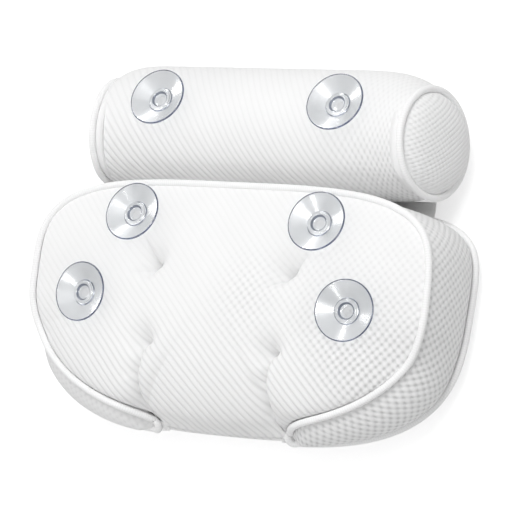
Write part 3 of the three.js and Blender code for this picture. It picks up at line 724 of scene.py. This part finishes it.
# %% Front panel
seam_tuck, floor_hold, front_relief = 6.0, 2.0, 0.8
front_cut = (front_seam, 3, seam_tuck, 0, 0)
columns, rows = 71, 47
share, _, coarse = panel_grid(columns, rows, *front_cut)
pins = (share > seam_share) | (coarse[..., 2] < floor_hold)
_, _, fine = panel_grid(2 * columns - 1, 2 * rows - 1, *front_cut)
front_panel = stuffed("cushion_front", coarse, fine, pins, pressure=3.0, cap=3.0, flip=True)
plain = np.zeros(fine.shape[:2])
dress(front_panel, fine * (1, 1, 0), plain, plain + front_relief, "cushion", ["cushion_front_panel"])

# %% [markdown]
# ## Side band
# The band joins the two panels and runs out to nothing at the tips. Its knit is stretched both ways, so it
# shows the lattice all along, deepest on the right. Its rows crowd to the seams, where it turns in under the
# piping. Its ends run on under the panels, so that no hole shows inside the piping's turn. It is held at the
# seams, and beside the roll, which needs the room to fold.

# %% Side band
band_stretch, band_relief, right_band_relief, top_band_loss = (1.05, 0.92, 0.0), 0.35, 0.75, 0.4
tip_lap, tip_lap_depth, tip_tuck = 4.0, 1.5, 0.3
seam_hold, roll_side_hold = 5.0, 0.9


def band_grid(columns, rows):
    end = tip_angle + math.radians(tip_lap)
    angle, row = np.meshgrid(np.linspace(-end, math.pi + end, columns), np.linspace(0, math.pi, rows))
    share = (1 - np.cos(row)) / 2
    height = length(back_seam(angle) - front_seam(angle))
    tuck = seam_tuck * np.exp(-np.minimum(share, 1 - share) * height / seam_tuck_reach)
    lap = tip_lap_depth * smoothstep(below_level(angle), tip_angle, end)
    tuck = tuck * mix(tip_tuck, 1, smoothstep(height, 9, 30)) + lap
    return share, angle, height, skin(angle, np.clip(1 + share, 1.0001, 1.9999), tuck)


columns, rows = 241, 17
share, angle, height, coarse = band_grid(columns, rows)
pins = np.exp(-np.minimum(share, 1 - share) * height / seam_hold)
pins = np.maximum(pins, (angle == angle[0, 0]) | (angle == angle[0, -1]))
pins = np.maximum(pins, roll_side_hold * smoothstep(coarse[..., 1], 60, 85))
share, angle, height, fine = band_grid(2 * columns - 1, 2 * rows - 1)
side_band = stuffed("cushion_side_band", coarse, fine, pins, pressure=4.0, cap=4.0, flip=True)
middle = smooth_point(angle[0], np.full(angle.shape[1], 1.5))
along = np.concatenate([[0], np.cumsum(length(np.diff(middle, axis=0)))])
cloth = np.stack([along[None] + 0 * height, -share * height, 0 * height], -1) * band_stretch
relief = right_band_relief * smoothstep(fine[..., 0], -120, 100)
relief = band_relief + relief * (1 - top_band_loss * smoothstep(fine[..., 1], -40, 60))
dress(side_band, cloth, np.ones(height.shape), relief, "cushion", ["cushion_gusset"])

# %% [markdown]
# ## Piping
# A cord in a sleeve of bias-cut cloth is sewn into both seams, and turns back on itself at the tips. It could
# be a curve with a bevel, but a mesh swept along the seam can carry the distance along the cord, which the
# sleeve's ribs need. They are about 1 mm apart, and are drawn at 2.2 mm so that they show at all. The sleeve
# looks smoother and shinier than the mesh, so the seams read as clean lines.

# %% Piping material
piping_rib, piping_rib_height = 2.2, 0.04

piping_material, tree, shader = start_material("white polyester piping")
along = add_node(tree, "Attribute", output="Fac", attribute_name="along_mm")
phase = add_node(tree, "Math", (along, 2 * math.pi / piping_rib), operation="MULTIPLY")
wave = add_node(tree, "Math", (phase,), operation="SINE")
rib = add_node(tree, "MapRange", (wave, -1.0, 1.0))
bump = add_node(tree, "Bump", {"Height": rib, "Distance": piping_rib_height / 1000, "Strength": 1.0})
colour = add_node(tree, "Mix", {0: rib, 6: linear("#f8f8f8"), 7: linear("#fdfdfd")}, 2, data_type="RGBA")
set_inputs(tree, shader, {"Base Color": colour, "Normal": bump, "Roughness": 0.7, "Specular IOR Level": 0.3})
print("piping ribs drawn", piping_rib, "mm apart")

# %% Cords
piping_sides, piping_steps, hairpin_step = 14, 420, 15


def tube(centres, out, side, radius, sides):
    """Points and faces of a closed tube through the centres."""
    turn = full_turn(sides)[:, None]
    ring = out[:, None] * np.cos(turn) + side[:, None] * np.sin(turn)
    faces = np.array(grid_faces(len(centres) + 1, sides, closed=True)) % (len(centres) * sides)
    return centres[:, None] + radius * ring, faces


def cord_loop(name, centres, outward, body, node):
    """Closed cord through the centres, with the distance along it."""
    along = unit(np.roll(centres, -1, 0) - np.roll(centres, 1, 0))
    side = unit(np.cross(along, outward))
    points, faces = tube(centres, np.cross(side, along), side, piping_radius, piping_sides)
    made = make_object(name, points, faces.tolist(), flip=True)
    steps = length(np.roll(centres, -1, 0) - centres)
    set_attribute(made, "along_mm", np.repeat(np.concatenate([[0], np.cumsum(steps)[:-1]]), piping_sides))
    made.data.materials.append(piping_material)
    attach(made, body)
    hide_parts(node)
    print(name, "is", round(float(steps.sum())), "mm long")


def hairpin(angle, first):
    """Half turn of the cord round a tip, from one seam to the other."""
    angle = np.array(angle)
    centre = (back_seam(angle) + front_seam(angle)) / 2
    outward = outward_at(angle)
    inward = np.array([-np.sign(centre[0]), 0, 0])
    inward = unit(inward - inward.dot(outward) * outward)
    turn = np.radians(np.arange(hairpin_step, 180, hairpin_step))[:, None]
    across = first * (back_seam(angle) - front_seam(angle)) / 2
    centres = centre + across * np.cos(turn) + hairpin_radius * inward * np.sin(turn)
    return centres, np.repeat(outward[None], len(turn), 0)


print("cord", 2 * piping_radius, "mm thick")

# %% Cushion piping
around = np.linspace(-tip_angle, math.pi + tip_angle, piping_steps)
left_turn, left_out = hairpin(around[-1], 1)
right_turn, right_out = hairpin(around[0], -1)
centres = np.concatenate([back_seam(around), left_turn, front_seam(around[::-1]), right_turn])
outward = np.concatenate([outward_at(around), left_out, outward_at(around[::-1]), right_out])
cord_loop("cushion_piping_cord", centres, outward, "cushion", "cushion_piping")

# %% [markdown]
# ## Neck roll
# The roll is a stuffed tube with a round panel at each end and piping between. Its section is a little oval.
# Towards the ends it is drawn in and the end panels lean back, the right one sooner and further. It is one
# grid, closed round the tube. Its knit turns to the lattice on the right, and fades at the gathered end seams.

# %% Neck roll cover
roll_half_length, roll_draw_in, roll_draw_powers = 167.5, 90.0, (7.0, 3.5)
roll_end_radius, roll_end_y, roll_end_z, roll_end_leans = 48.5, -8.0, 10.5, (5.5, 11.0)
roll_stretch, roll_tuck, roll_fade = 0.72, 5.0, 8.0
roll_relief, shaded_side_relief, left_gain = 0.25, 0.6, 0.4
roll_crowding, middle_crowding, middle_width, end_crowding = 1.08, 11, 55, 0.35


def roll_section(x):
    power = np.where(x < 0, *roll_draw_powers)
    drawn = np.clip((np.abs(x) - (roll_half_length - roll_draw_in)) / roll_draw_in, 0, 1) ** power
    centre = roll_axis_y + roll_end_y * drawn, roll_axis_z + roll_end_z * drawn
    size = mix(roll_half_reach, roll_end_radius, drawn), mix(roll_half_height, roll_end_radius, drawn)
    lean = np.tan(np.radians(np.where(x < 0, *roll_end_leans)))
    return *centre, *size, np.sign(x) * lean * drawn


def roll_grid(rows, columns):
    along = np.linspace(-roll_half_length, roll_half_length, rows)
    along, turn = np.meshgrid(along, full_turn(columns), indexing="ij")
    y, z, half_reach, half_height, lean = roll_section(along)
    tuck = roll_tuck * np.exp(-(roll_half_length - np.abs(along)) / seam_tuck_reach)
    height = np.maximum(0, z + (half_height - tuck) * np.cos(turn))
    reach = (half_reach - tuck) * np.sin(turn)
    return along, turn, np.stack([along - lean * (height - z), y + reach, height], -1)


rows, columns = 91, 96
along, _, coarse = roll_grid(rows, columns)
pins = np.exp(-(roll_half_length - np.abs(along)) / seam_hold)
pins = np.maximum(pins, coarse[..., 2] < floor_hold)
pins = np.maximum(pins, under_cups(coarse, "cup_roll", cup_hold))
along, turn, fine = roll_grid(2 * rows - 1, 2 * columns)
roll_cover = stuffed("neck_roll_cover", coarse, fine, pins, pressure=4.0, cap=3.0, closed=True, flip=True)
lean = (turn + math.pi) % (2 * math.pi) - math.pi
course = roll_crowding * along + middle_crowding * np.tanh(along / middle_width)
course = course + end_crowding * soft_ramp(along - 110, 60)
cloth = np.stack([course, roll_stretch * lean * roll_half_reach, 0 * lean], -1)
lattice = smoothstep(along, 50, 145)
# Partly painted shade: on the side towards the cushion, away from the key lamp, the knit is deeper and its
# grooves greyer
relief = roll_relief + shaded_side_relief * smoothstep(-lean, -0.3, 0.9)
relief = relief * (1 + left_gain * smoothstep(-along, 40, 130))
relief = relief * smoothstep(roll_half_length - np.abs(along), 0, roll_fade)
dress(roll_cover, cloth, lattice, relief, "roll", ["roll_cover", "roll_fill"])

# %% Neck roll ends
roll_end_bulge, roll_end_power, roll_end_roundness = 18.0, 2.4, 1.4
end_stretch, end_tuck, end_tuck_reach = 1.5, 10.0, 4.0
end_points, end_relief, end_fade, ring_steps = 29, 0.6, 0.15, 180


def end_grid(size, side):
    share, angle = disc_grid(size, size)
    y, z, _, _, lean = roll_section(np.array(side * roll_half_length))
    bulge = roll_end_bulge * (1 - share ** roll_end_power) ** (1 / roll_end_roundness)
    tuck = end_tuck * np.exp(-(1 - share) * roll_end_radius / end_tuck_reach)
    rise = share * roll_end_radius * np.sin(angle)
    x = side * (roll_half_length + bulge - tuck) - lean * rise
    return share, np.stack([x, y + share * roll_end_radius * np.cos(angle), z + rise], -1)


for side, word in ((-1, "left"), (1, "right")):
    share, coarse = end_grid(end_points, side)
    pins = np.exp(-(1 - share) * roll_end_radius / seam_hold)
    share, fine = end_grid(2 * end_points - 1, side)
    end = stuffed("neck_roll_end_" + word, coarse, fine, pins, pressure=3.0, cap=3.0, flip=side < 0)
    lattice = smoothstep(fine[..., 2] - roll_axis_z, 0, 50)
    cloth = end_stretch * fine[..., [1, 2, 0]] * (1, 1, 0)
    relief = end_relief * smoothstep(1 - share, 0, end_fade)
    dress(end, cloth, lattice, relief, "roll", ["roll_end_" + word])
    y, z, _, _, lean = roll_section(np.array(side * roll_half_length))
    turn = full_turn(ring_steps)
    outward = np.stack([-lean * np.sin(turn), np.cos(turn), np.sin(turn)], -1)
    centres = np.array([side * roll_half_length, y, z]) + roll_end_radius * outward
    cord_loop("neck_roll_piping_" + word, centres, outward, "roll", "roll_piping_" + word)

# %% [markdown]
# ## Hinge web
# A plain woven strip joins the roll to the cushion near the front, so that the roll can fold. It runs from
# one body to the other and hangs with a slight sag, which a rigid plate couldn't show. It is built where it
# lies and tied to neither body. Its flat weave looks plainer and greyer than the mesh, and Blender's brick
# texture draws it. The yarn is about 0.4 mm thick, and is drawn at 0.8 mm so that it shows.

# %% Web material
web_yarn, web_float, web_gap, web_relief = 0.8, 1.6, 0.12, 0.2

web_material, tree, shader = start_material("white plain-woven polyester")
cloth = add_node(tree, "Attribute", output="Vector", attribute_name="cloth_mm")
yarns = {"Color1": linear("#fcfcfb"), "Color2": linear("#f4f4f3"), "Mortar": linear("#e2e2e1")}
sizes = {"Scale": 1.0, "Mortar Size": web_gap, "Brick Width": web_float, "Row Height": web_yarn}
weave = add_node(tree, "TexBrick", {"Vector": cloth, **yarns, **sizes}, "Color")
gaps = {"Height": weave.node.outputs["Fac"], "Distance": web_relief / 1000, "Strength": 0.6}
bump = add_node(tree, "Bump", gaps, invert=True)
set_inputs(tree, shader, {"Base Color": weave, "Normal": bump, "Roughness": 0.85})
print("web yarn", web_yarn, "mm wide")

# %% Hinge web
web_end_angle = math.radians(51)
web_sag, web_cloth_thickness = 1.2, 1.6

columns, rows = 97, 9
angle = np.linspace(web_end_angle, math.pi - web_end_angle, columns)
height_share = (back_seam_height - hinge_z) / (back_seam_height - front_seam_height)
foot = smooth_point(angle, np.full(columns, 1 + height_share))
across = np.linspace(0, 1, rows)[:, None]
level = hinge_z - web_sag * np.sin(math.pi * across) + 0 * foot[:, 1]
points = np.stack([foot[:, 0] + 0 * across, mix(foot[:, 1], hinge_y, across), level], -1)
hinge_web = make_object("hinge_strip", points, grid_faces(rows, columns), flip=True)
set_attribute(hinge_web, "cloth_mm", points * (1, 1, 0))
hinge_web.data.materials.append(web_material)
cloth = hinge_web.modifiers.new("thickness", "SOLIDIFY")
cloth.thickness = web_cloth_thickness / 1000
cloth.offset = 0
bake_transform(hinge_web)
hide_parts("hinge_web")
print("web spans", round(float(hinge_y - foot[columns // 2, 1]), 1), "mm")

# %% [markdown]
# ## Clear PVC
# The cups are moulded in clear soft PVC. A polished mould leaves the inside of the dish smooth and shiny, so
# it mirrors the lamps in bright wedges. Its back is matt, which blurs the cloth behind. A thick edge is seen
# through more of the material, and looks blue and dark. Faint clouds, about 17 mm across, are left by the flow
# of the melt.

# %% Clear PVC materials
cloud_size = 16.667


def mottled(name, light, dark, grain):
    """Start a material that wanders between two shades, in patches of the given size in millimetres."""
    material, tree, shader = start_material(name)
    place = add_node(tree, "TexCoord", output="Object")
    noise = add_node(tree, "TexNoise", {"Vector": place, "Scale": 1000 / grain, "Detail": 2.0}, "Fac")
    colour = add_node(tree, "Mix", {0: noise, 6: linear(light), 7: linear(dark)}, 2, data_type="RGBA")
    set_inputs(tree, shader, {"Base Color": colour})
    return material, tree, shader, noise


def clear_vinyl(name, light, dark, roughness, clearness):
    material, tree, shader, cloud = mottled(name, light, dark, cloud_size)
    gloss = add_node(tree, "MapRange", {0: cloud, 3: 0.7 * roughness, 4: 1.3 * roughness})
    set_inputs(tree, shader, {
        "Roughness": gloss, "IOR": 1.53, "Specular IOR Level": 0.8, "Transmission Weight": clearness,
        "Coat Weight": 0.6, "Coat Roughness": 0.2,
    })
    return material


cup_materials = [
    clear_vinyl("clear soft PVC", "#d8dadc", "#c8cacd", 0.2, 0.78),
    clear_vinyl("matt back of clear PVC", "#dddfe0", "#d1d3d5", 0.45, 0.78),
    clear_vinyl("thick edge of clear PVC", "#1f2c50", "#2f3d63", 0.12, 0.25),
    # The ring's steep walls are painted dark, a painted outline standing in for the dark lines that refraction
    # draws there
    clear_vinyl("ring walls of clear PVC", "#4a5266", "#626a7c", 0.2, 0.5),
]
smooth_face, matt_back, thick_edge, ring_wall = range(4)
print(len(cup_materials), "finishes on a cup")

# %% [markdown]
# ## Suction cups
# A cup is turned from a profile: the head inside the cover, the neck through the cloth, the matt back of the
# dish, the rim, the smooth cone, and the raised ring with its dimple. A screw modifier could turn it, but here
# each ring of faces gets its own finish, so the profile is swept in code. The dish is a true cone, because
# only a cone shows a lamp as a wedge from the ring to the rim.

# %% Profile of a cup
cup_segments = 96
head_bottom, head_top, cup_hub = -8.2, -5.2, 0.3
edge_start, bead_outside, bead_inside, wall_slope, sharp_angle = 26.4, 11.5, 8, 0.8, math.radians(50)

# Each point is a radius and a height over the cloth
head = [(0.01, head_bottom), (7.1, head_bottom), (7.5, head_bottom + 0.4)]
head += [(7.5, head_top - 0.4), (7.1, head_top), (4.5, head_top)]
hub = [(4.5, cup_hub), (9.6, cup_hub), (10.2, cup_hub + 0.3), (11.0, 1.6)]
rim = [(27.5, 10.3), (27.5, 11.2), (27.3, 11.45), (27.0, 11.5), (26.5, 11.5)]
step = [(11.2, 5.2), (10.6, 5.2)]
bead = [(10.3, 5.4), (9.8, 6.0), (9.2, 6.3), (8.5, 6.4), (7.8, 6.2), (7.2, 5.6), (6.8, 4.9)]
dimple = [(6.2, 4.3), (5.2, 3.95), (3.0, 3.7), (0.01, 3.65)]
back_of_dish = np.linspace((12.0, 2.4), (27.1, 10.0), 12)
cone = np.linspace((26.0, 11.35), (12.0, 4.35), 12)
profile = np.concatenate([head, hub, back_of_dish, rim, cone, step, bead, dimple])


def ring_finish(first, last, is_back):
    if min(first[0], last[0]) > edge_start:
        return thick_edge
    if is_back:
        return matt_back
    steep = abs(last[1] - first[1]) > wall_slope * abs(last[0] - first[0])
    off_bead = first[0] > bead_outside or first[0] < bead_inside
    return ring_wall if steep and off_bead else smooth_face


rim_place = int(np.argmax(profile[:, 0]))
finishes = [ring_finish(profile[i], profile[i + 1], i < rim_place) for i in range(len(profile) - 1)]
face_finishes = np.repeat(finishes, cup_segments).tolist() + [matt_back, smooth_face]
print(len(profile), "rings in a cup's profile")

# %% Suction cups
turn, radius, height = full_turn(cup_segments), profile[:, :1], profile[:, 1:]
rings = np.stack([radius * np.cos(turn), radius * np.sin(turn), height + 0 * turn], -1)
for joint_name, joint in joints.items():
    if not joint_name.endswith("_spin"):
        continue
    word = joint_name[len("cup_"):-len("_spin")]
    upright = np.array(Vector(joint["axis"]).to_track_quat("Z", "Y").to_matrix())
    points = rings @ upright.T + from_frame(joint["pos_m"])
    faces = grid_faces(len(profile), cup_segments, closed=True)
    faces.append(list(range(cup_segments))[::-1])
    faces.append([(len(profile) - 1) * cup_segments + k for k in range(cup_segments)])
    cup = make_object("vinyl_cup_" + word, points, faces)
    for material in cup_materials:
        cup.data.materials.append(material)
    cup.data.polygons.foreach_set("material_index", face_finishes)
    cup.data.set_sharp_from_angle(angle=sharp_angle)
    # Light passes a clear cup almost unchanged, and a path tracer's shadow of it would be too dark
    cup.visible_shadow = False
    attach(cup, joint["child"])
    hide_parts("suction_cup_" + word)
    print(cup.name, "has", len(cup.data.polygons), "faces")

# %% [markdown]
# ## Tuft stitches
# Each tuft is held by three turns of sewing thread over the cloth. They are small, but a pit without them
# would look like a dent. Each turn is a thin ring, and the three cross. The thread's twist is a fine grain.

# %% Thread and the place of a tuft
grain_height = 0.1


def grained_material(name, light, dark, roughness, grain):
    """Plain material with a fine grain, its size in millimetres."""
    material, tree, shader, noise = mottled(name, light, dark, grain)
    bump = add_node(tree, "Bump", {"Height": noise, "Distance": grain_height / 1000, "Strength": 0.5})
    set_inputs(tree, shader, {"Normal": bump, "Roughness": roughness})
    return material


def back_place(x, y):
    reach = back_reach[0] if y > 0 else back_reach[1]
    angle = np.array(math.atan2(y / reach, x / back_half_width))
    for _ in range(20):
        seam = back_seam(angle)
        angle = angle + 0.5 * (math.atan2(y, x) - math.atan2(seam[1], seam[0]))
    return skin(angle, np.array(math.hypot(x, y) / math.hypot(seam[0], seam[1])), np.array(0.0))


print("first pit's bottom is", round(float(back_place(*tufts[0][:2])[2]), 1), "mm high")

# %% Tuft stitches
stitch_half, stitch_rise, stitch_step, thread_radius = 2.6, 0.9, 0.3, 0.45
stitch_headings = np.radians((20, 80, 140))
path_steps, thread_sides = 24, 8
thread_material = grained_material("polyester sewing thread", "#f3f3f1", "#dcdcd9", 0.6, 0.8)
tuft_words = [f"{height}_{side}" for height in ("upper", "lower") for side in ("left", "right")]

for tuft, word in zip(tufts, tuft_words):
    points, faces = [], []
    for k, heading in enumerate(stitch_headings):
        course = np.array([math.cos(heading), math.sin(heading), 0])
        beside = np.array([-course[1], course[0], 0])
        turn = full_turn(path_steps)[:, None]
        out = unit(np.cos(turn) * course * stitch_rise + np.sin(turn) * np.array((0, 0, stitch_half)))
        rise = (stitch_rise * np.sin(turn) + stitch_step * k) * np.array((0, 0, 1))
        path = back_place(*tuft[:2]) + (np.cos(turn) * course * stitch_half + rise)
        loop, loop_faces = tube(path, out, np.tile(beside, (path_steps, 1)), thread_radius, thread_sides)
        faces.extend((loop_faces + k * path_steps * thread_sides).tolist())
        points.append(loop)
    stitch = make_object("tuft_stitch_" + word, np.array(points), faces)
    stitch.data.materials.append(thread_material)
    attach(stitch, "cushion")
    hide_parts("tuft_thread_" + word)
print(len(tuft_words), "stitches")

# %% [markdown]
# ## Washers
# A moulded washer holds each cup's head behind the cloth. Its solid is already right, so it stays and gets
# the slightly grainy look of moulded polypropylene.

# %% Washers
washer_material = grained_material("moulded white polypropylene", "#ececea", "#e2e2df", 0.4, 4.0)
washers = [node for name, node in frame["nodes"].items() if name.startswith("cup_washer")]
for washer in washers:
    washer.data.materials.clear()
    washer.data.materials.append(washer_material)
print(len(washers), "washers")
